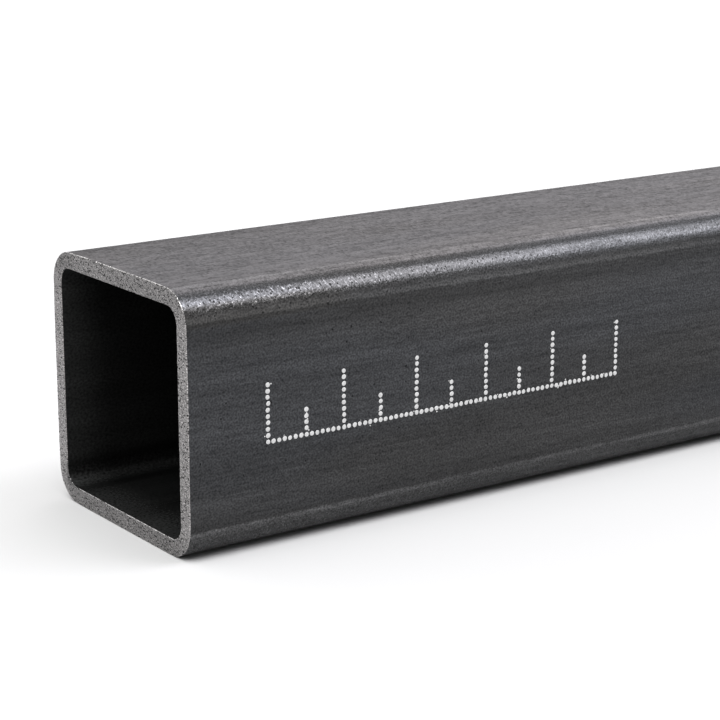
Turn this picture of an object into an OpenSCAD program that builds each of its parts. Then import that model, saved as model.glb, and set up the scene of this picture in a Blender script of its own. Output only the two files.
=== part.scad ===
// Square steel hollow section: a cold-formed tube in one piece, with
// rounded corners and square saw-cut ends, lying on one of its flats.
//
// Frame: the stock runs along X, centred on the origin, and rests on Z = 0.

/* [Section] */
// Outside width and height of the square section, mm
side = 30; // [20:1:60]
// Wall thickness, mm
wall = 2; // [1.5:0.5:4]
// Outside corner radius as a multiple of the wall thickness; the inside radius is one wall less
corner_factor = 2; // [1.6:0.1:2.4]

/* [Stock] */
// Length that the stock is cut to, mm
stock_length = 1000; // [100:50:6000]

/* [Hidden] */

// Corner radii of the outside and of the inside of the wall
outer_r = corner_factor * wall;
inner_r = outer_r - wall;
// Clear width between the inside flats
bore = side - 2 * wall;
// Segments in a full circle of a corner
corner_fn = 96;

// A square of width w centred on the origin, with its corners rounded to radius r
module rounded_square(w, r) {
    flat = w - 2 * r;
    square([w, flat], center = true);
    square([flat, w], center = true);
    for (sx = [-1, 1], sy = [-1, 1])
        translate([sx * flat / 2, sy * flat / 2])
            circle(r = r, $fn = corner_fn);
}

// The wall of the section, as it shows on a cut end
module section() {
    difference() {
        rounded_square(side, outer_r);
        rounded_square(bore, inner_r);
    }
}

// The tube in one piece, its section drawn along X and resting on Z = 0
module square_tube() {
    color([0.26, 0.26, 0.27])
        translate([-stock_length / 2, 0, side / 2])
            rotate([90, 0, 90])
                linear_extrude(height = stock_length)
                    section();
}

square_tube();
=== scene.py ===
import math

import bpy
import numpy as np
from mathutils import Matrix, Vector


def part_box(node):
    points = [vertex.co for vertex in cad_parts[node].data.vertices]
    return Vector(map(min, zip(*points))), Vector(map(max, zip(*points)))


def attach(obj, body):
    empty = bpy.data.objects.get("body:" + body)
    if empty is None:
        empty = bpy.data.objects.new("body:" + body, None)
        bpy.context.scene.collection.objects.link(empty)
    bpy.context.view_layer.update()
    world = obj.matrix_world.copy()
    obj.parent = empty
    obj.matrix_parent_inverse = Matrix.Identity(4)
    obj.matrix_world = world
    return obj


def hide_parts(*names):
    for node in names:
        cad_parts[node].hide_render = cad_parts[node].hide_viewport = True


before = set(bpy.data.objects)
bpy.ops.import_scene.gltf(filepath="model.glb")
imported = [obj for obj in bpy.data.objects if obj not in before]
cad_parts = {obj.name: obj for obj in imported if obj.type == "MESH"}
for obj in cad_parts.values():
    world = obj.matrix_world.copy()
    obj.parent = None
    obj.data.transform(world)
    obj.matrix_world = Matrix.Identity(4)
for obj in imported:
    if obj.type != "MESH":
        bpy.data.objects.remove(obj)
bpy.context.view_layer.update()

MM = 0.001

# ---------------------------------------------------------------- section
SIDE = 30 * MM
WALL = 2 * MM
OUT_R = 4 * MM
IN_R = 2 * MM
lo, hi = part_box("square_tube")
X0, X1 = lo.x, hi.x
MID_Z = SIDE / 2

FLAT_STEPS = 74   # along each flat of the section
ARC_STEPS = 30    # along each corner
LEAN = 0.022      # slope of the flats beside the corners


def smooth(a, b, x):
    t = np.clip((x - a) / (b - a), 0.0, 1.0)
    return t * t * (3 - 2 * t)


def wobble(x, period, seed, terms=4):
    """A smooth, fixed, seeded ripple of x, from about -1 to 1, with no feature shorter than period / terms."""
    rng = np.random.default_rng(seed)
    out = np.zeros_like(x, dtype=float)
    total = 0.0
    for k in range(1, terms + 1):
        share = 1.0 / k
        out += share * np.sin(2 * np.pi * x * k * rng.uniform(0.7, 1.3) / period + rng.uniform(0, 2 * np.pi))
        total += share
    return out / total


def value_noise(x, cell, seed, loop=None):
    """Random knots a cell apart, joined smoothly, from -1 to 1. With loop, it closes on itself after that length."""
    count = int(round(loop / cell)) if loop else 4096
    step = loop / count if loop else cell
    knots = np.random.default_rng(seed).uniform(-1, 1, count)
    u = x / step
    i = np.floor(u).astype(int)
    f = u - i
    f = f * f * (3 - 2 * f)
    return knots[i % count] * (1 - f) + knots[(i + 1) % count] * f


def contour(width, radius):
    """One loop round a rounded square, by way of its +Y side.
    Returns places (y, z), outward normals, the length round it, and how deep in a corner each point is."""
    flat = width - 2 * radius
    places, normals, corner = [], [], []
    # directions of the four flats: bottom, +Y side, top, -Y side
    for q in range(4):
        a = q * math.pi / 2
        along = np.array([math.cos(a), math.sin(a)])
        out = np.array([math.sin(a), -math.cos(a)])
        for k in range(FLAT_STEPS):
            s = -flat / 2 + flat * k / FLAT_STEPS
            places.append(out * width / 2 + along * s)
            normals.append(out)
            corner.append(0.0)
        centre = out * (width / 2 - radius) + along * flat / 2
        for k in range(ARC_STEPS):
            b = math.pi / 2 * k / ARC_STEPS
            n = out * math.cos(b) + along * math.sin(b)
            places.append(centre + n * radius)
            normals.append(n)
            corner.append(math.sin(2 * b))
    # the loop starts in the middle of the lower flat
    first = FLAT_STEPS // 2
    places, normals, corner = (np.roll(np.array(v), -first, 0) for v in (places, normals, corner))
    steps = np.linalg.norm(np.roll(places, -1, 0) - places, axis=1)
    length = np.concatenate([[0], np.cumsum(steps)[:-1]])
    return places, normals, length, corner, steps.sum()


out_p, out_n, out_s, out_c, out_len = contour(SIDE, OUT_R)
in_p, in_n, in_s, in_c, in_len = contour(SIDE - 2 * WALL, IN_R)
N = len(out_p)


def stations(first, fine_to, fine_step, half):
    """Places from an end to the middle, close together near the end and far apart past the fine stretch."""
    x = list(first)
    while x[-1] < fine_to:
        x.append(x[-1] + fine_step)
    step = fine_step
    while x[-1] + step < half:
        step *= 1.18
        x.append(min(x[-1] + step, half))
    if half - x[-1] > 1e-6:
        x.append(half)
    return np.array(x)


half = (X1 - X0) / 2
out_from_end = stations([0.0, 0.07 * MM, 0.2 * MM, 0.45 * MM, 0.9 * MM, 1.6 * MM, 2.6 * MM], 92 * MM, 2.6 * MM, half)
in_from_end = stations([0.0, 0.08 * MM, 0.3 * MM, 0.8 * MM, 1.8 * MM], 40 * MM, 5 * MM, half)


def past_flat(places, corner):
    """How far round the bend a point of the outside lies from the nearer flat, in metres. Negative on the flats."""
    flat = SIDE / 2 - OUT_R
    y, z = np.abs(places[:, 0]), np.abs(places[:, 1])
    bend = np.minimum(np.arctan2(y - flat, z - flat), np.arctan2(z - flat, y - flat))
    return np.where(corner > 0, np.clip(bend, 0, None) * OUT_R, np.minimum(y, z) - flat)


def corner_fall(places, corner):
    """The flats lean in a little over the last few millimetres before each corner, and the corner itself is that much lower."""
    samples = np.linspace(-6 * MM, 4 * MM, 2001)
    slope = LEAN * smooth(-3.9 * MM, -3.3 * MM, samples) * (1 - smooth(-0.1 * MM, 0.9 * MM, samples))
    depth = np.concatenate([[0], np.cumsum((slope[1:] + slope[:-1]) / 2 * np.diff(samples))])
    return np.interp(past_flat(places, corner), samples, depth)


def skin_sink(x, places, corner):
    """How far the rolled skin lies inside the true section: the flats' slow waves, and their lean towards the corners."""
    y, z = places[:, 0], places[:, 1]
    along = np.where(np.abs(y) > np.abs(z), z, y)
    face = np.where(np.abs(y) > np.abs(z), np.sign(y) * 1.0, np.sign(z) * 2.0)
    waves = np.zeros(len(places))
    for f in (-2, -1, 1, 2):
        on = face == f
        w = (0.007 * wobble(np.full(on.sum(), x) + along[on] * 1.3, 46 * MM, 11 + f, 3)
             + 0.003 * wobble(np.full(on.sum(), x) * 0.35 + along[on] * 2.2, 19 * MM, 31 + f, 3))
        waves[on] = w * MM
    return np.clip(0.012 * MM + waves, 0.0, 0.05 * MM) * (1 - 0.6 * corner) + corner_fall(places, corner)


# ---------------------------------------------------------------- one closed mesh
verts, faces, kinds = [], [], []
attr_around, attr_bend, attr_edge = [], [], []
SKIN, CUT, BORE = 0, 1, 2


def add_ring(points, around, bend, edge):
    start = len(verts)
    verts.extend(map(tuple, points))
    attr_around.extend(around)
    attr_bend.extend(bend / MM)
    attr_edge.extend(np.broadcast_to(edge, (len(points),)))
    return start


def bridge(a, b, kind, flip):
    for i in range(N):
        j = (i + 1) % N
        quad = (a + i, a + j, b + j, b + i)
        faces.append(quad[::-1] if flip else quad)
        kinds.append(kind)


def ring_points(x, yz):
    pts = np.empty((N, 3))
    pts[:, 0] = x
    pts[:, 1] = yz[:, 0]
    pts[:, 2] = yz[:, 1] + MID_Z
    return pts


def edge_wear(s, loop, seed, places):
    """The saw leaves each edge a little broken: its width of bevel round the section, in metres."""
    front = smooth(0.2, -0.6, -places[:, 0] / SIDE * 2)
    rough = 0.25 + 0.75 * (1 - front)
    w = 0.085 + rough * (0.026 * value_noise(s, 0.55 * MM, seed, loop) + 0.020 * value_noise(s, 0.30 * MM, seed + 1, loop))
    chips = np.clip(value_noise(s, 0.60 * MM, seed + 2, loop) - 0.62, 0, 1) * 0.16 * rough
    return np.clip(w + chips, 0.03, 0.18) * MM


out_bend = past_flat(out_p, out_c)
ends = []
for end, (x_end, inward) in enumerate(((X0, 1.0), (X1, -1.0))):
    seed = 500 + 40 * end
    c_out = edge_wear(out_s, out_len, seed, out_p)
    c_in = edge_wear(in_s, in_len, seed + 7, in_p) * 0.8
    ends.append((x_end, inward, c_out, c_in, seed))

# outer skin, from the near end to the far end
skin_x, skin_edge = [], []
for d in out_from_end:
    skin_x.append((0, d))
for d in out_from_end[::-1][1:]:
    skin_x.append((1, d))
rings = []
for side_, d in skin_x:
    x_end, inward, c_out, c_in, seed = ends[side_]
    # the first rings follow the broken edge and level out within a few tenths of a millimetre
    local = c_out * math.exp(-d / (0.35 * MM))
    x = x_end + inward * (d + local)
    sink = skin_sink(x_end + inward * d, out_p, out_c)
    rings.append(add_ring(ring_points(x, out_p - out_n * sink[:, None]), out_s, out_bend, math.exp(-d / (0.9 * MM))))
for a, b in zip(rings[:-1], rings[1:]):
    bridge(a, b, SKIN, True)
near_out, far_out = rings[0], rings[-1]

# bore, from the near end to the far end
rings = []
for side_, d in [(0, d) for d in in_from_end] + [(1, d) for d in in_from_end[::-1][1:]]:
    x_end, inward, c_out, c_in, seed = ends[side_]
    local = c_in * math.exp(-d / (0.35 * MM))
    x = x_end + inward * (d + local)
    rings.append(add_ring(ring_points(x, in_p), in_s, out_bend, math.exp(-d / (0.9 * MM))))
for a, b in zip(rings[:-1], rings[1:]):
    bridge(a, b, BORE, False)
near_in, far_in = rings[0], rings[-1]

# cut faces: outer bevel, the face in rings across the wall, inner bevel
LANES = 11
for end, (first, last) in enumerate(((near_out, near_in), (far_out, far_in))):
    x_end, inward, c_out, c_in, seed = ends[end]
    sink0 = skin_sink(x_end, out_p, out_c)
    outer_edge = out_p - out_n * sink0[:, None]
    inner_edge = in_p
    across = inner_edge - outer_edge
    wall_here = np.linalg.norm(across, axis=1)
    across /= wall_here[:, None]
    prev = first
    rows = []
    # the bevel rounds over in two steps
    rows.append((c_out * 0.30, c_out * 0.30))
    rows.append((c_out * 1.00, c_out * 0.0))
    for k in range(1, LANES):
        rows.append((c_out + (wall_here - c_out - c_in) * k / LANES, np.zeros(N)))
    rows.append((wall_here - c_in * 1.00, c_in * 0.0))
    rows.append((wall_here - c_in * 0.30, c_in * 0.30))
    for k, (into, depth) in enumerate(rows):
        yz = outer_edge + across * into[:, None]
        # shallow chatter left by the saw, square to its feed
        chatter = (0.006 * MM) * (0.5 + 0.5 * np.sin(2 * np.pi * (yz[:, 1] * 0.94 + yz[:, 0] * 0.34) / (1.15 * MM)
                                                    + 0.8 * wobble(yz[:, 0], 9 * MM, seed + 3, 3)))
        chatter = chatter + 0.006 * MM * (0.5 + 0.5 * value_noise(out_s + 0.7 * into, 0.7 * MM, seed + 4 + k, out_len))
        x = x_end + inward * (depth + chatter)
        edge = np.clip(1 - np.minimum(into, wall_here - into) / (0.22 * MM), 0, 1)
        ring = add_ring(ring_points(x, yz), out_s, out_bend, edge)
        bridge(prev, ring, CUT, end == 1)
        prev = ring
    bridge(prev, last, CUT, end == 1)

mesh = bpy.data.meshes.new("square_tube_steel")
mesh.from_pydata(verts, [], faces)
mesh.polygons.foreach_set("material_index", np.array(kinds, np.int32))
mesh.polygons.foreach_set("use_smooth", np.ones(len(faces), bool))
for name, values in (("around", attr_around), ("bend", attr_bend), ("edge", attr_edge)):
    a = mesh.attributes.new(name, "FLOAT", "POINT")
    a.data.foreach_set("value", np.array(values, np.float32))
mesh.update()
mesh.validate(verbose=True)
tube = bpy.data.objects.new("square_tube_steel", mesh)
bpy.context.scene.collection.objects.link(tube)


# ---------------------------------------------------------------- node helpers
class Nodes:
    """Short names for the few nodes that the materials use."""

    def __init__(self, tree):
        self.t = tree
        self.col = 0

    def new(self, kind, **settings):
        n = self.t.nodes.new(kind)
        self.col += 1
        n.location = (220 * (self.col % 12), -260 * (self.col // 12))
        for k, v in settings.items():
            setattr(n, k, v)
        return n

    def put(self, socket, value):
        if isinstance(value, bpy.types.NodeSocket):
            self.t.links.new(value, socket)
        elif value is not None:
            socket.default_value = value

    def math(self, op, a, b=None, c=None, clamp=False):
        n = self.new("ShaderNodeMath", operation=op, use_clamp=clamp)
        for i, v in enumerate((a, b, c)):
            if v is not None:
                self.put(n.inputs[i], v)
        return n.outputs[0]

    def add(self, a, b):
        return self.math("ADD", a, b)

    def mul(self, a, b):
        return self.math("MULTIPLY", a, b)

    def fit(self, v, a, b, c=0.0, d=1.0, kind="SMOOTHSTEP"):
        n = self.new("ShaderNodeMapRange", interpolation_type=kind)
        self.put(n.inputs["Value"], v)
        for k, x in (("From Min", a), ("From Max", b), ("To Min", c), ("To Max", d)):
            self.put(n.inputs[k], x)
        return n.outputs["Result"]

    def vec(self, x, y, z):
        n = self.new("ShaderNodeCombineXYZ")
        for i, v in enumerate((x, y, z)):
            self.put(n.inputs[i], v)
        return n.outputs[0]

    def scaled(self, vector, scale, rotate=(0, 0, 0), move=(0, 0, 0)):
        n = self.new("ShaderNodeMapping")
        self.put(n.inputs["Vector"], vector)
        n.inputs["Location"].default_value = move
        n.inputs["Rotation"].default_value = rotate
        n.inputs["Scale"].default_value = scale
        return n.outputs[0]

    def noise(self, vector, scale=1.0, detail=2.0, rough=0.5, distort=0.0, out="Fac", dims="2D"):
        n = self.new("ShaderNodeTexNoise", noise_dimensions=dims)
        self.put(n.inputs["Vector"], vector)
        n.inputs["Scale"].default_value = scale
        n.inputs["Detail"].default_value = detail
        n.inputs["Roughness"].default_value = rough
        n.inputs["Distortion"].default_value = distort
        return n.outputs[out]

    def cells(self, vector, scale=1.0, feature="F1", random=1.0):
        n = self.new("ShaderNodeTexVoronoi", feature=feature, voronoi_dimensions="2D")
        self.put(n.inputs["Vector"], vector)
        n.inputs["Scale"].default_value = scale
        n.inputs["Randomness"].default_value = random
        return n

    def mix(self, fac, a, b, blend="MIX"):
        n = self.new("ShaderNodeMix", data_type="RGBA", blend_type=blend)
        self.put(n.inputs[0], fac)
        self.put(n.inputs[6], a)
        self.put(n.inputs[7], b)
        return n.outputs[2]

    def attr(self, name):
        return self.new("ShaderNodeAttribute", attribute_name=name).outputs["Fac"]

    def bump(self, height, strength=1.0, normal=None):
        n = self.new("ShaderNodeBump")
        n.inputs["Strength"].default_value = strength
        n.inputs["Distance"].default_value = 1.0
        self.put(n.inputs["Height"], height)
        if normal is not None:
            self.put(n.inputs["Normal"], normal)
        return n.outputs[0]


def material(name):
    m = bpy.data.materials.new(name)
    m.use_nodes = True
    m.node_tree.nodes.clear()
    n = Nodes(m.node_tree)
    out = n.new("ShaderNodeOutputMaterial")
    shader = n.new("ShaderNodeBsdfPrincipled")
    m.node_tree.links.new(shader.outputs[0], out.inputs[0])
    return m, n, shader


def rgb(r, g, b):
    return (r, g, b, 1.0)


# ---------------------------------------------------------------- rolled black skin
def on_surface(n):
    """Two coordinates that lie in the skin: along the tube, and round the section. In metres."""
    where = n.new("ShaderNodeTexCoord").outputs["Object"]
    xyz = n.new("ShaderNodeSeparateXYZ")
    n.put(xyz.inputs[0], where)
    return where, xyz.outputs[0], n.vec(xyz.outputs[0], n.attr("around"), 0.0)


def tinted(n, shader, base, value):
    shade = n.new("ShaderNodeVectorMath", operation="SCALE")
    n.put(shade.inputs[0], base)
    n.put(shade.inputs["Scale"], value)
    n.put(shader.inputs["Base Color"], shade.outputs[0])


def black_skin():
    m, n, s = material("black_mill_scale")
    where, x, skin = on_surface(n)
    # millimetres round the corner from the nearer flat: below 0 on the flats, 3.1 in the middle of a corner
    past = n.attr("bend")
    bend = n.fit(past, 0.9, 2.0)
    flat = n.math("SUBTRACT", 1.0, bend)
    near_end = n.fit(n.math("ABSOLUTE", x), 0.484, 0.4995)
    xyz = n.new("ShaderNodeSeparateXYZ")
    n.put(xyz.inputs[0], where)
    y, z = xyz.outputs[1], xyz.outputs[2]

    # soft patches, and the streaks that the rolls draw along the length
    cloud = n.noise(n.scaled(skin, (24, 150, 1)), 1.0, 2.0, 0.5)
    streak_a = n.noise(n.scaled(skin, (13, 620, 1), move=(7.3, 2.9, 0)), 1.0, 2.0, 0.6)
    streak_b = n.noise(n.scaled(skin, (110, 1900, 1), move=(1.3, 8.9, 0)), 1.0, 2.0, 0.6)
    streak_c = n.noise(n.scaled(skin, (700, 3400, 1), move=(5.1, 3.3, 0)), 1.0, 1.0, 0.6)
    coarse = n.noise(n.scaled(skin, (520, 700, 1), rotate=(0, 0, math.radians(17)), move=(4.4, 0.7, 0)), 1.0, 2.0, 0.7)
    speckle = n.noise(n.scaled(skin, (3300, 1500, 1), move=(9.2, 1.1, 0)), 1.0, 1.0, 0.6)
    grain = n.noise(n.scaled(skin, (4300, 4800, 1), rotate=(0, 0, math.radians(34))), 1.0, 0.0, 0.6)
    tint = n.noise(n.scaled(skin, (17, 90, 1), move=(12.0, 4.0, 0)), 1.0, 1.0, 0.5)

    # pits in the scale, most of them round the corners, of mixed size
    pit_cells = n.cells(n.scaled(skin, (3300, 2700, 1), rotate=(0, 0, math.radians(12))), 1.0)
    pit_pick = n.new("ShaderNodeSeparateColor")
    n.put(pit_pick.inputs[0], pit_cells.outputs["Color"])
    pit_share = n.fit(past, 0.2, 1.5, 0.992, 0.82, "LINEAR")
    pit_size = n.fit(pit_pick.outputs[1], 0.0, 1.0, 0.14, 0.44, "LINEAR")
    pits = n.mul(n.fit(n.math("SUBTRACT", pit_cells.outputs["Distance"], pit_size), 0.10, -0.06),
                 n.math("GREATER_THAN", pit_pick.outputs[0], pit_share))
    # fewer of them on the upper side of a bend, on the lower bends, and further along
    far_on = n.fit(x, -0.472, -0.440)
    pits = n.mul(pits, n.mul(n.fit(z, 0.0291, 0.0286, 0.35, 1.0), n.fit(z, 0.0045, 0.0060, 0.6, 1.0)))
    pits = n.mul(pits, n.fit(far_on, 0.0, 1.0, 1.0, 0.45, "LINEAR"))

    # scuffs and small dents that the rolls press into the corners
    scuff = n.noise(n.scaled(skin, (1500, 900, 1), rotate=(0, 0, math.radians(24))), 1.0, 2.0, 0.6, 0.6)
    fleck = n.noise(n.scaled(skin, (3600, 2500, 1), rotate=(0, 0, math.radians(-18)), move=(2.2, 6.1, 0)), 1.0, 1.0, 0.6, 0.4)

    # value: how light the scale is here, about 1
    v = n.fit(cloud, 0.30, 0.70, 0.90, 1.10, "LINEAR")
    v = n.mul(v, n.fit(streak_a, 0.30, 0.70, 0.89, 1.11, "LINEAR"))
    v = n.mul(v, n.fit(streak_b, 0.30, 0.70, 0.88, 1.12, "LINEAR"))
    v = n.mul(v, n.fit(streak_c, 0.30, 0.70, 0.92, 1.08, "LINEAR"))
    v = n.mul(v, n.fit(grain, 0.20, 0.80, 0.57, 1.43, "LINEAR"))
    # a paler line just inside each corner, and beside it on the flat a darker band, painted shade, darker still near
    # the ends and a little less dark further along
    ragged = n.add(past, n.add(n.mul(coarse, 0.5), n.mul(speckle, 0.3)))
    further = n.fit(x, -0.488, -0.455)
    at = n.add(ragged, n.mul(further, 0.22))
    line = n.mul(n.fit(at, 0.87, 1.12), n.fit(at, 1.74, 1.40))
    # the lower line is broken up more
    broken = n.fit(n.add(coarse, n.mul(speckle, 0.3)), 0.56, 0.72, 0.45, 1.15)
    line = n.mul(line, n.fit(n.fit(z, 0.010, 0.015), 0.0, 1.0, broken, 1.0, "LINEAR"))
    v = n.mul(v, n.fit(n.mul(line, n.fit(streak_a, 0.35, 0.65, 0.55, 1.0)), 0.0, 1.0, 1.0, 1.66, "LINEAR"))
    # painted shade: the darker band on the flat beside the paler line
    painted_shade_band = n.mul(n.fit(past, -2.2, -0.2), n.fit(past, 0.60, 0.35))
    v = n.mul(v, n.fit(painted_shade_band, 0.0, 1.0, 1.0, 0.77, "LINEAR"))
    v = n.mul(v, n.fit(n.mul(painted_shade_band, near_end), 0.0, 1.0, 1.0, 0.86, "LINEAR"))
    v = n.mul(v, n.fit(n.mul(painted_shade_band, further), 0.0, 1.0, 1.0, 1.05, "LINEAR"))
    # painted light: a little lighter along the middle of each side further along
    v = n.mul(v, n.fit(n.mul(n.mul(n.fit(z, 0.0090, 0.0099), n.fit(z, 0.0128, 0.0113)), further), 0.0, 1.0, 1.0, 1.05, "LINEAR"))
    # painted shade and painted light on the sides, by height and along the tube: darker low down and in a band below
    # the upper bend, lighter on the near end's upper side and in bands on and just above the lower bend, painted
    # reflection, and nearly black in the last half millimetre above the floor, painted contact shade
    v = n.mul(v, n.fit(z, 0.0145, 0.0105, 1.0, 0.86))
    upper_painted_shade = n.mul(n.fit(z, 0.0213, 0.0229), n.fit(z, 0.0262, 0.0250))
    v = n.mul(v, n.fit(upper_painted_shade, 0.0, 1.0, 1.0, 0.93, "LINEAR"))
    v = n.mul(v, n.fit(n.mul(n.fit(z, 0.0180, 0.0215), n.mul(n.fit(z, 0.0263, 0.0258), n.fit(x, -0.478, -0.440))), 0.0, 1.0, 1.0, 1.16, "LINEAR"))
    v = n.mul(v, n.fit(n.mul(n.fit(z, 0.0078, 0.0062), n.fit(z, 0.0015, 0.0021)), 0.0, 1.0, 1.0, 1.10, "LINEAR"))
    v = n.mul(v, n.fit(n.mul(n.fit(z, 0.0037, 0.0032), n.fit(z, 0.0022, 0.0027)), 0.0, 1.0, 1.0, 1.24, "LINEAR"))
    v = n.mul(v, n.fit(n.mul(n.fit(z, 0.0262, 0.0256), n.fit(x, -0.462, -0.436, 0.45, 1.0)), 0.0, 1.0, 1.0, 1.055, "LINEAR"))
    v = n.mul(v, n.fit(n.mul(n.mul(n.fit(z, 0.0228, 0.0236), n.fit(z, 0.0254, 0.0247)), n.fit(x, -0.456, -0.438)), 0.0, 1.0, 1.0, 0.93, "LINEAR"))
    v = n.mul(v, n.fit(z, 0.0019, 0.0009, 1.0, 1.75))
    v = n.mul(v, n.fit(z, 0.0006, 0.0003, 1.0, 0.05))
    # the corners shine a little less further along
    v = n.mul(v, n.fit(n.mul(bend, n.fit(x, -0.470, -0.435)), 0.0, 1.0, 1.0, 0.94, "LINEAR"))
    # painted highlight: brighter above and below the upper bend's highlight further along, widening it, and a little
    # brighter just under it except close to the near end
    painted_highlight_band = n.add(n.mul(n.fit(z, 0.02730, 0.02765), n.fit(z, 0.02850, 0.02820)), n.mul(n.mul(n.fit(z, 0.02918, 0.02940), n.fit(z, 0.02962, 0.02950)), 0.53))
    v = n.mul(v, n.fit(n.mul(painted_highlight_band, n.fit(x, -0.472, -0.430)), 0.0, 1.0, 1.0, 1.48, "LINEAR"))
    painted_lip_highlight = n.mul(n.mul(n.fit(z, 0.02735, 0.02760), n.fit(z, 0.02800, 0.02780)), n.fit(x, -0.494, -0.465))
    v = n.mul(v, n.fit(painted_lip_highlight, 0.0, 1.0, 1.0, 1.13, "LINEAR"))
    # short strokes where the rolls have rubbed the upper corners bright, near the ends
    lean_a = n.scaled(skin, (1, 1, 1), rotate=(0, 0, math.radians(-57)))
    lean_b = n.scaled(skin, (1, 1, 1), rotate=(0, 0, math.radians(24)), move=(0.3, 0.2, 0))
    stroke = n.math("MAXIMUM", n.fit(n.noise(n.scaled(lean_a, (780, 5000, 1)), 1.0, 0.0, 0.5), 0.62, 0.70),
                    n.mul(n.fit(n.noise(n.scaled(lean_b, (1250, 4900, 1)), 1.0, 0.0, 0.5), 0.65, 0.74), 0.8))
    stroke = n.mul(stroke, n.fit(scuff, 0.38, 0.62, 0.15, 1.0))
    rubbed = n.mul(n.mul(n.fit(z, 0.0273, 0.0278), n.fit(z, 0.0291, 0.0288)), n.fit(n.math("ABSOLUTE", x), 0.462, 0.484))
    v = n.mul(v, n.fit(rubbed, 0.0, 1.0, 1.0, 0.89, "LINEAR"))
    v = n.mul(v, n.fit(n.mul(stroke, rubbed), 0.0, 1.0, 1.0, 2.7, "LINEAR"))
    # painted contact shade: below about half a millimetre above the floor the scale's sheen is all but taken away
    painted_contact_shade = n.fit(z, 0.0007, 0.0003)
    v = n.mul(v, n.fit(pits, 0.0, 1.0, 1.0, 0.30, "LINEAR"))
    worn = n.mul(n.mul(bend, n.fit(fleck, 0.55, 0.72)), n.fit(z, 0.0289, 0.0294, 1.0, 0.4))
    worn = n.mul(worn, n.fit(further, 0.0, 1.0, 1.0, 0.6, "LINEAR"))
    v = n.mul(v, n.fit(worn, 0.0, 1.0, 1.0, 2.2, "LINEAR"))
    warm = n.mul(n.mul(n.fit(z, 0.0256, 0.0263), n.fit(z, 0.0286, 0.0279)), n.fit(x, -0.470, -0.484))
    warm = n.math("MAXIMUM", n.mul(n.fit(tint, 0.32, 0.68, n.fit(z, 0.0290, 0.0297, 0.0, 0.5), n.fit(z, 0.0290, 0.0297, 0.62, 1.0)), n.fit(n.mul(n.mul(bend, far_on), n.fit(z, 0.020, 0.024)), 0.0, 1.0, 1.0, 0.2, "LINEAR")), warm)
    warm = n.math("MAXIMUM", warm, n.fit(z, 0.0046, 0.0036, 0.0, 0.6))
    tinted(n, s, n.mix(warm, rgb(0.0350, 0.0361, 0.0387), rgb(0.0371, 0.0363, 0.0356)), v)

    # how strongly the scale shines at a low angle
    sheen = n.add(n.add(n.mul(coarse, 0.45), n.mul(streak_b, 0.35)), n.add(n.mul(speckle, 1.0), n.mul(streak_c, 0.6)))
    edge_on = n.fit(sheen, 0.80, 1.60, 0.155, 1.355, "LINEAR")
    # painted sheen: the last 3 mm before each -Y corner, and the corners, shine lighter; painted shade: the +Y half
    # duller, most of all near the -X end
    step = n.mul(n.fit(ragged, -3.55, -2.95), n.math("LESS_THAN", y, 0.0))
    edge_on = n.math("MINIMUM", n.add(edge_on, n.mul(step, n.fit(further, 0.0, 1.0, 0.22, 0.13, "LINEAR"))), 1.0)
    edge_on = n.mul(edge_on, n.fit(n.mul(n.fit(y, 0.003, 0.0075), n.fit(further, 0.0, 1.0, 1.0, 0.3, "LINEAR")), 0.0, 1.0, 1.0, 0.88, "LINEAR"))
    edge_on = n.mul(edge_on, n.fit(painted_contact_shade, 0.0, 1.0, 1.0, 0.12, "LINEAR"))
    edge_on = n.mul(edge_on, n.fit(pits, 0.0, 1.0, 1.0, 0.6, "LINEAR"))
    n.put(s.inputs["Specular Tint"], n.vec(edge_on, edge_on, edge_on))

    rough = n.fit(cloud, 0.30, 0.70, 0.40, 0.36, "LINEAR")
    rough = n.add(rough, n.fit(streak_b, 0.30, 0.70, 0.03, -0.03, "LINEAR"))
    rough = n.add(rough, n.fit(coarse, 0.30, 0.70, 0.05, -0.05, "LINEAR"))
    rough = n.add(rough, n.mul(bend, -0.17))
    rough = n.add(rough, n.mul(pits, 0.25))
    rough = n.add(rough, n.mul(n.mul(bend, n.fit(z, 0.0040, 0.0028)), 0.13))
    rough = n.add(rough, n.mul(n.mul(bend, n.fit(x, -0.475, -0.435)), 0.045))
    rough = n.add(rough, n.fit(z, 0.0010, 0.0004, 0.0, 0.55))
    n.put(s.inputs["Roughness"], n.math("MINIMUM", n.math("MAXIMUM", rough, 0.15), 1.0))

    # heights in metres
    h = n.mul(grain, 5e-6)
    h = n.add(h, n.mul(n.add(n.mul(coarse, 90e-6), n.mul(speckle, 30e-6)), flat))
    h = n.add(h, n.mul(streak_b, 5e-6))
    h = n.add(h, n.mul(streak_c, 5e-6))
    h = n.add(h, n.mul(pits, -14e-6))
    corner_h = n.add(n.mul(scuff, 38e-6), n.mul(fleck, 11e-6))
    corner_h = n.mul(corner_h, n.fit(near_end, 0.0, 1.0, 1.0, 1.60, "LINEAR"))
    # calmer towards the top and further along
    corner_h = n.mul(corner_h, n.fit(z, 0.0289, 0.0294, 1.0, 0.55))
    corner_h = n.mul(corner_h, n.fit(further, 0.0, 1.0, 1.0, 0.74, "LINEAR"))
    h = n.add(h, n.mul(corner_h, bend))
    n.put(s.inputs["Normal"], n.bump(h))
    s.inputs["IOR"].default_value = 1.5
    s.inputs["Metallic"].default_value = 0.6
    s.inputs["Specular IOR Level"].default_value = 0.4
    return m


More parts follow.
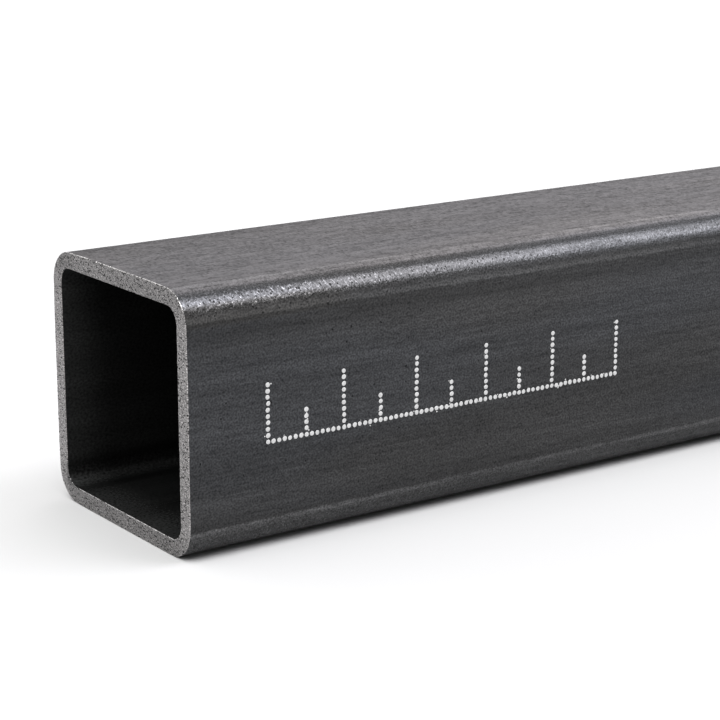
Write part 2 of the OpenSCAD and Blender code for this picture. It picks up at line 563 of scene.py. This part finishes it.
# ---------------------------------------------------------------- bare sawn steel
def sawn_face():
    m, n, s = material("sawn_steel")
    where = n.new("ShaderNodeTexCoord").outputs["Object"]
    xyz = n.new("ShaderNodeSeparateXYZ")
    n.put(xyz.inputs[0], where)
    face = n.vec(xyz.outputs[1], xyz.outputs[2], 0.0)
    edge = n.attr("edge")
    cloud = n.noise(n.scaled(face, (260, 260, 1)), 1.0, 2.0, 0.6)
    grain = n.noise(n.scaled(face, (4700, 7200, 1)), 1.0, 1.0, 0.65)
    # the blade's scratches lie askew across the face
    turned = n.scaled(face, (1, 1, 1), rotate=(0, 0, math.radians(-22)))
    scratch = n.noise(n.scaled(turned, (700, 7000, 1)), 1.0, 1.0, 0.6)
    gouge = n.fit(n.noise(n.scaled(turned, (520, 5200, 1), move=(3, 8, 0)), 1.0, 1.0, 0.5), 0.64, 0.72)
    high = n.fit(xyz.outputs[2], 0.0265, 0.0283)
    low = n.mul(n.fit(xyz.outputs[2], 0.0035, 0.0015), n.fit(n.math("ABSOLUTE", xyz.outputs[1]), 0.0118, 0.0134, 1.0, 0.3))
    pit_cells = n.cells(n.scaled(face, (3100, 4900, 1), rotate=(0, 0, math.radians(8))), 1.0)
    pick = n.new("ShaderNodeSeparateColor")
    n.put(pick.inputs[0], pit_cells.outputs["Color"])
    share = n.math("SUBTRACT", n.fit(high, 0.0, 1.0, 0.81, 0.73, "LINEAR"), n.mul(low, 0.06))
    pits = n.mul(n.fit(n.math("SUBTRACT", pit_cells.outputs["Distance"], n.mul(pick.outputs[1], 0.18)), 0.39, 0.27), n.math("GREATER_THAN", pick.outputs[0], share))
    outward = n.math("MAXIMUM", n.math("ABSOLUTE", xyz.outputs[1]), n.math("ABSOLUTE", n.math("SUBTRACT", xyz.outputs[2], 0.015)))
    # painted highlight along the edges, partly the bright burr of the cut: weaker on the inner edge, except along the
    # lower wall
    sill = n.mul(n.fit(xyz.outputs[2], 0.0026, 0.0023), n.fit(xyz.outputs[1], 0.0112, 0.0100))
    edge = n.mul(n.fit(edge, 0.45, 0.95), n.fit(outward, 0.0134, 0.0137, n.fit(sill, 0.0, 1.0, 0.30, 0.85), 1.0))

    v = n.fit(cloud, 0.30, 0.70, 0.92, 1.08, "LINEAR")
    v = n.mul(v, n.fit(grain, 0.28, 0.72, 0.34, 1.66, "LINEAR"))
    glint = n.noise(n.scaled(face, (3600, 5600, 1), rotate=(0, 0, math.radians(37)), move=(6, 1, 0)), 1.0, 0.0, 0.5)
    v = n.mul(v, n.fit(glint, 0.58, 0.72, 1.0, 1.70))
    v = n.mul(v, n.fit(scratch, 0.30, 0.70, 0.84, 1.16, "LINEAR"))
    v = n.mul(v, n.fit(gouge, 0.0, 1.0, 1.0, 0.72, "LINEAR"))
    v = n.mul(v, n.fit(high, 0.0, 1.0, 1.0, 0.75, "LINEAR"))
    # painted shade: the lower wall of the cut face darker, less so towards its corners
    v = n.mul(v, n.fit(low, 0.0, 1.0, 1.0, 0.71, "LINEAR"))
    v = n.mul(v, n.fit(pits, 0.0, 1.0, 1.0, 0.04, "LINEAR"))
    v = n.mul(v, n.fit(n.mul(n.fit(xyz.outputs[1], 0.009, 0.0125), n.fit(xyz.outputs[2], 0.0240, 0.0265)), 0.0, 1.0, 1.0, 0.88, "LINEAR"))
    # painted highlight, partly bright burr: the cut face lighter along its edges
    v = n.mul(v, n.fit(edge, 0.0, 1.0, 1.0, 1.65, "LINEAR"))
    # painted shade: darker on the face at its inner lower +Y corner
    painted_corner_shade = n.mul(n.mul(n.fit(xyz.outputs[1], 0.0105, 0.0115), n.fit(xyz.outputs[2], 0.0050, 0.0040)), n.fit(outward, 0.0133, 0.0130))
    v = n.mul(v, n.fit(painted_corner_shade, 0.0, 1.0, 1.0, 0.45, "LINEAR"))
    tinted(n, s, (0.167, 0.1610, 0.1600), v)
    rough = n.fit(grain, 0.30, 0.70, 0.50, 0.38, "LINEAR")
    rough = n.add(rough, n.mul(pits, 0.3))
    n.put(s.inputs["Roughness"], n.add(rough, n.mul(edge, -0.14)))
    h = n.mul(scratch, 5e-6)
    h = n.add(h, n.mul(grain, 7e-6))
    h = n.add(h, n.mul(pits, -18e-6))
    n.put(s.inputs["Normal"], n.bump(h))
    s.inputs["Metallic"].default_value = 0.75
    s.inputs["IOR"].default_value = 1.5
    return m


# ---------------------------------------------------------------- the bore's skin
def bore_skin():
    m, n, s = material("bore_mill_scale")
    where, x, skin = on_surface(n)
    cloud = n.noise(n.scaled(skin, (60, 260, 1), move=(2, 5, 0)), 1.0, 2.0, 0.55)
    streak = n.noise(n.scaled(skin, (45, 900, 1), move=(6, 1, 0)), 1.0, 2.0, 0.6)
    grain = n.noise(n.scaled(skin, (3000, 3900, 1), rotate=(0, 0, math.radians(21))), 1.0, 1.0, 0.6)
    v = n.fit(cloud, 0.30, 0.70, 0.80, 1.20, "LINEAR")
    v = n.mul(v, n.fit(streak, 0.30, 0.70, 0.92, 1.08, "LINEAR"))
    # painted shade: the bore darker further in from the mouth, its floor darker, darker across both lower inner
    # corners, along a line on the floor by the +Y corner and in a band low on the walls; painted light: the floor
    # lighter towards -Y
    xyz = n.new("ShaderNodeSeparateXYZ")
    n.put(xyz.inputs[0], where)
    stray = n.mul(n.math("SUBTRACT", streak, 0.5), 0.0006)
    z = n.add(xyz.outputs[2], stray)
    across = n.add(n.math("ABSOLUTE", xyz.outputs[1]), stray)
    painted_depth_shade = n.fit(n.math("ABSOLUTE", x), 0.4995, 0.4935, 1.0, 0.42)
    low = n.fit(z, 0.0042, 0.0034)
    floor_part = n.fit(across, 0.0120, 0.0109)
    painted_arc_shade = n.mul(n.mul(n.fit(across, 0.0110, 0.0115), n.fit(across, 0.0129, 0.0123)), low)
    line = n.mul(n.mul(n.fit(xyz.outputs[1], 0.0088, 0.0099), n.fit(xyz.outputs[1], 0.0112, 0.0105)), low)
    upper_painted_shade = n.mul(n.fit(z, 0.0025, 0.0031), n.fit(z, 0.0056, 0.0042))
    shade = n.mul(painted_depth_shade, n.fit(n.mul(floor_part, low), 0.0, 1.0, 1.0, 0.48, "LINEAR"))
    shade = n.mul(shade, n.fit(painted_arc_shade, 0.0, 1.0, 1.0, 0.90, "LINEAR"))
    shade = n.mul(shade, n.fit(line, 0.0, 1.0, 1.0, 0.62, "LINEAR"))
    shade = n.mul(shade, n.fit(upper_painted_shade, 0.0, 1.0, 1.0, 0.45, "LINEAR"))
    shade = n.mul(shade, n.fit(n.mul(n.fit(xyz.outputs[1], 0.003, -0.006), low), 0.0, 1.0, 1.0, 1.22, "LINEAR"))
    # the grain shows more on the lower wall
    fine = n.mul(n.math("SUBTRACT", grain, 0.5), n.fit(low, 0.0, 1.0, 0.62, 1.0, "LINEAR"))
    v = n.mul(n.mul(v, shade), n.add(n.mul(fine, 2.7), 1.0))
    # the same painted shade also dims the sheen
    gloss = n.math("MINIMUM", n.mul(shade, n.add(n.mul(fine, 1.9), 1.0)), 1.0)
    n.put(s.inputs["Specular Tint"], n.vec(gloss, gloss, gloss))
    tinted(n, s, (0.0220, 0.0226, 0.0222), v)
    n.put(s.inputs["Roughness"], n.fit(streak, 0.30, 0.70, 0.50, 0.46, "LINEAR"))
    h = n.add(n.mul(grain, 8e-6), n.mul(streak, 2e-6))
    n.put(s.inputs["Normal"], n.bump(h))
    s.inputs["IOR"].default_value = 1.5
    s.inputs["Metallic"].default_value = 0.5
    s.inputs["Specular IOR Level"].default_value = 0.22
    return m


for made in (black_skin(), sawn_face(), bore_skin()):
    mesh.materials.append(made)
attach(tube, "root")
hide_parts("square_tube")

# ---------------------------------------------------------------- ink
# a plain dotted graduation along the -Y side: a base line, a short tick every 5 mm and a tall one every 10 mm
STEP = 5.0 / 7 * MM
DOT_R = 0.275 * MM
FIRST = (X0 + 10.0 * MM, 12.2 * MM)
places = [(k, 0) for k in range(71)]
for tick in range(11):
    places += [(7 * tick, up) for up in range(1, 10 if tick % 2 == 0 else 5)]
rng = np.random.default_rng(77)
ink_v, ink_f = [], []
SEG = 18


def lens(x, z, radius, proud):
    """One closed drop of dried ink, its back just under the steel's skin."""
    sink = skin_sink(x, np.array([[-SIDE / 2, z - MID_Z]]), np.zeros(1))[0]
    base = len(ink_v)
    y = -(SIDE / 2 - sink)
    shape = 1 + 0.035 * np.sin(2 * np.arange(SEG) * 2 * np.pi / SEG + rng.uniform(0, 6.28)) + rng.uniform(-0.02, 0.02, SEG)
    rows = ((1.00, 0.006), (0.99, -0.35 * proud), (0.90, -0.80 * proud), (0.55, -proud))
    for share, out in rows:
        for k in range(SEG):
            a = 2 * math.pi * k / SEG
            r = radius * share * shape[k]
            ink_v.append((x + r * math.cos(a), y + out * (MM if out > 0 else 1), z + r * math.sin(a)))
    ink_v.append((x, y - proud * 1.02, z))
    ink_v.append((x, y + 0.006 * MM, z))
    top, under = len(ink_v) - 2, len(ink_v) - 1
    for k in range(SEG):
        m = (k + 1) % SEG
        for row in range(len(rows) - 1):
            a, b = base + row * SEG, base + (row + 1) * SEG
            ink_f.append((a + k, a + m, b + m, b + k))
        last = base + (len(rows) - 1) * SEG
        ink_f.append((last + k, last + m, top))
        ink_f.append((base + m, base + k, under))


for i, j in places:
    x = FIRST[0] + i * STEP + rng.normal(0, 0.018) * MM
    z = FIRST[1] + j * STEP + rng.normal(0, 0.018) * MM
    lens(x, z, DOT_R * rng.uniform(0.94, 1.05), 0.012 * MM)
    if rng.random() < 0.16:
        a, d = rng.uniform(0, 6.28), rng.uniform(0.38, 0.46) * MM
        lens(x + d * math.cos(a), z + d * math.sin(a), rng.uniform(0.05, 0.11) * MM, 0.007 * MM)
ink_mesh = bpy.data.meshes.new("ink_marks")
ink_mesh.from_pydata(ink_v, [], ink_f)
ink_mesh.polygons.foreach_set("use_smooth", np.ones(len(ink_f), bool))
ink_mesh.validate(verbose=True)
ink = bpy.data.objects.new("ink_marks", ink_mesh)
bpy.context.scene.collection.objects.link(ink)


def marking_ink():
    m, n, s = material("white_marking_ink")
    where = n.new("ShaderNodeTexCoord").outputs["Object"]
    xyz = n.new("ShaderNodeSeparateXYZ")
    n.put(xyz.inputs[0], where)
    flat = n.vec(xyz.outputs[0], xyz.outputs[2], 0.0)
    body = n.noise(n.scaled(flat, (1500, 1500, 1)), 1.0, 2.0, 0.6)
    grain = n.noise(n.scaled(flat, (6500, 6500, 1)), 1.0, 1.0, 0.6)
    v = n.mul(n.fit(body, 0.30, 0.70, 0.92, 1.06, "LINEAR"), n.fit(grain, 0.25, 0.75, 0.90, 1.08, "LINEAR"))
    tinted(n, s, (0.465, 0.465, 0.462), v)
    n.put(s.inputs["Roughness"], n.fit(body, 0.30, 0.70, 0.62, 0.50, "LINEAR"))
    n.put(s.inputs["Normal"], n.bump(n.mul(grain, 6e-6)))
    s.inputs["IOR"].default_value = 1.5
    return m


ink_mesh.materials.append(marking_ink())
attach(ink, "root")

# ---------------------------------------------------------------- stage
floor_mesh = bpy.data.meshes.new("floor")
F = 30.0
floor_mesh.from_pydata([(-F, -F, 0), (F, -F, 0), (F, F, 0), (-F, F, 0)], [], [(0, 1, 2, 3)])
floor = bpy.data.objects.new("floor", floor_mesh)
bpy.context.scene.collection.objects.link(floor)
fm, fn, fs = material("white_floor")
FLOOR_SHADE = 0.303
fs.inputs["Base Color"].default_value = rgb(FLOOR_SHADE, FLOOR_SHADE, FLOOR_SHADE)
fs.inputs["Roughness"].default_value = 0.9
fs.inputs["Specular IOR Level"].default_value = 0.1
floor_mesh.materials.append(fm)

# ---------------------------------------------------------------- light
world = bpy.data.worlds.new("studio")
bpy.context.scene.world = world
world.use_nodes = True
world.node_tree.nodes.clear()
w = Nodes(world.node_tree)
direction = w.new("ShaderNodeTexCoord").outputs["Generated"]
sep = w.new("ShaderNodeSeparateXYZ")
w.put(sep.inputs[0], direction)
# the angle about the tube's length: 0 at the back's horizon, 90 overhead, 180 at the front's horizon
turn = w.mul(w.math("ARCTAN2", sep.outputs[2], sep.outputs[1]), 1 / math.pi)
BRIGHT = 10.0


def strips(levels):
    ramp = w.new("ShaderNodeValToRGB")
    ramp.color_ramp.interpolation = "EASE"
    stops = ramp.color_ramp.elements
    while len(stops) > 1:
        stops.remove(stops[-1])
    for k, (at, level, warm) in enumerate(levels):
        stop = stops[0] if k == 0 else stops.new(at / 180)
        stop.position = at / 180
        stop.color = rgb(*[level / BRIGHT * c for c in warm])
    w.put(ramp.inputs[0], turn)
    return ramp.outputs[0]


ROSE, PLAIN, COOL = (1.03, 0.978, 1.02), (1.0, 1.0, 1.0), (0.995, 0.985, 1.04)
# towards the far end, and towards the near end
far_side = strips(((0, 0.55, ROSE), (13, 0.52, ROSE), (24, 1.22, ROSE), (34, 1.55, ROSE), (44, 2.25, ROSE), (56, 2.75, ROSE), (68, 1.85, ROSE),
                   (80, 0.5, PLAIN), (92, 0.7, COOL), (103, 4.6, COOL), (112, 9.6, COOL), (124, 9.2, COOL), (133, 4.4, COOL),
                   (142, 0.5, PLAIN), (154, 0.4, PLAIN), (166, 0.8, PLAIN), (180, 0.8, PLAIN)))
near_side = strips(((0, 0.45, PLAIN), (22, 0.5, PLAIN), (30, 3.2, PLAIN), (41, 3.2, PLAIN), (49, 0.6, PLAIN), (62, 0.9, PLAIN),
                    (77, 2.2, PLAIN), (87, 5.7, PLAIN), (97, 8.3, PLAIN), (109, 7.4, PLAIN), (122, 2.3, PLAIN), (137, 0.5, PLAIN),
                    (180, 0.25, PLAIN)))
along = sep.outputs[0]
lift = w.new("ShaderNodeVectorMath", operation="SCALE")
w.put(lift.inputs[0], near_side)
w.put(lift.inputs["Scale"], w.fit(along, 0.15, -0.35, 1.0, 1.55))
near_side = lift.outputs[0]
sky = w.mix(w.mul(w.fit(along, 0.20, 0.38), w.fit(along, 0.92, 0.76)), near_side, far_side)
# the strips would all meet straight along the tube, so an even grey covers that
level = w.vec(0.28 / BRIGHT, 0.28 / BRIGHT, 0.28 / BRIGHT)
sky = w.mix(w.fit(w.math("ABSOLUTE", along), 0.84, 0.96), sky, level)
back = w.new("ShaderNodeBackground")
w.put(back.inputs["Color"], sky)
back.inputs["Strength"].default_value = BRIGHT
seen = w.new("ShaderNodeBackground")
seen.inputs["Color"].default_value = rgb(1, 1, 1)
seen.inputs["Strength"].default_value = 1.05
path = w.new("ShaderNodeLightPath")
choose = w.new("ShaderNodeMixShader")
w.put(choose.inputs[0], path.outputs["Is Camera Ray"])
world.node_tree.links.new(back.outputs[0], choose.inputs[1])
world.node_tree.links.new(seen.outputs[0], choose.inputs[2])
wout = w.new("ShaderNodeOutputWorld")
world.node_tree.links.new(choose.outputs[0], wout.inputs[0])

# ---------------------------------------------------------------- camera
cam_data = bpy.data.cameras.new("camera")
cam = bpy.data.objects.new("camera", cam_data)
bpy.context.scene.collection.objects.link(cam)
cam_data.sensor_width = 36
cam_data.sensor_fit = "HORIZONTAL"
cam_data.lens = 106.71
cam_data.clip_start = 0.01
cam_data.clip_end = 100
az, el = math.radians(54.865), math.radians(-14.633)
cam.location = (X0 - 0.10934, -0.20185, 0.0792)
look = Vector((math.cos(el) * math.cos(az), math.cos(el) * math.sin(az), math.sin(el)))
cam.rotation_mode = "QUATERNION"
cam.rotation_quaternion = look.to_track_quat("-Z", "Y")
bpy.context.scene.camera = cam
view_settings = bpy.context.scene.view_settings
view_settings.view_transform = "Standard"
view_settings.look = "None"
view_settings.exposure = 0
view_settings.gamma = 1
